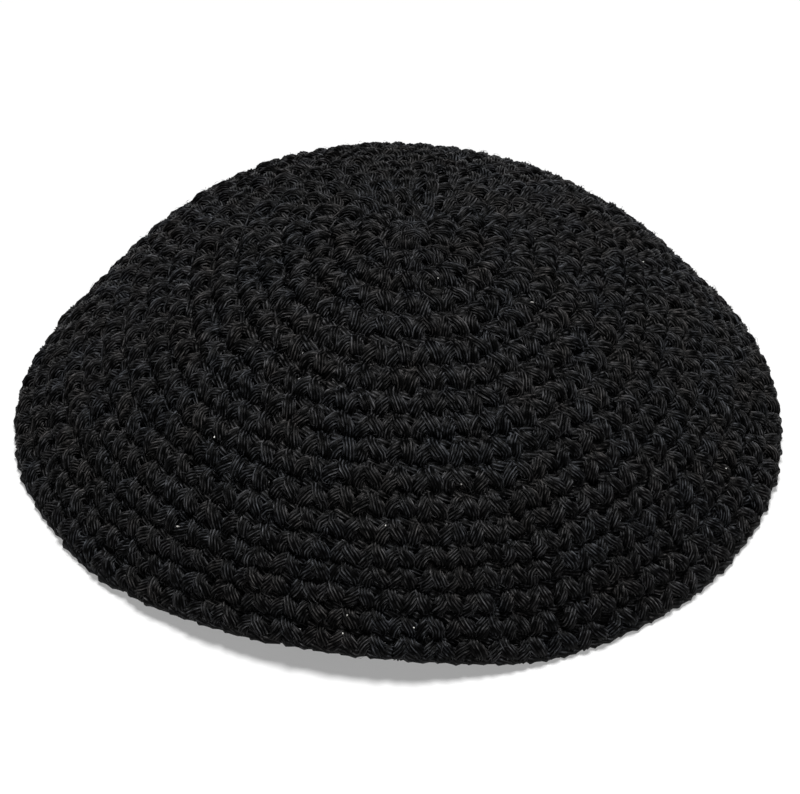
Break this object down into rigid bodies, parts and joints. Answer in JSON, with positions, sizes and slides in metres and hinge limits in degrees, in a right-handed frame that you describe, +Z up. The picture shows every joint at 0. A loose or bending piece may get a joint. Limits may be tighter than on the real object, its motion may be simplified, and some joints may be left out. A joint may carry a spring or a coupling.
{
  "type": "crocheted kippah skullcap",
  "caption": "Shallow dome-shaped skullcap crocheted in rounds from thick black cotton yarn, hollow below, lying on its soft wavy rim.",
  "frame": {"origin": "middle of the base, on the plane that the rim lies on", "axes": "+Z up through the crown, the short way; +X to the right along the widest extent; the front is towards -Y"},
  "size_m": [0.156, 0.1446, 0.0524],
  "materials": {
    "black_cotton": "matt crocheted cotton with a soft grey sheen on the fibres"
  },
  "bodies": {
    "root": {"crocheted_cap": "black_cotton"}
  },
  "joints": []
}
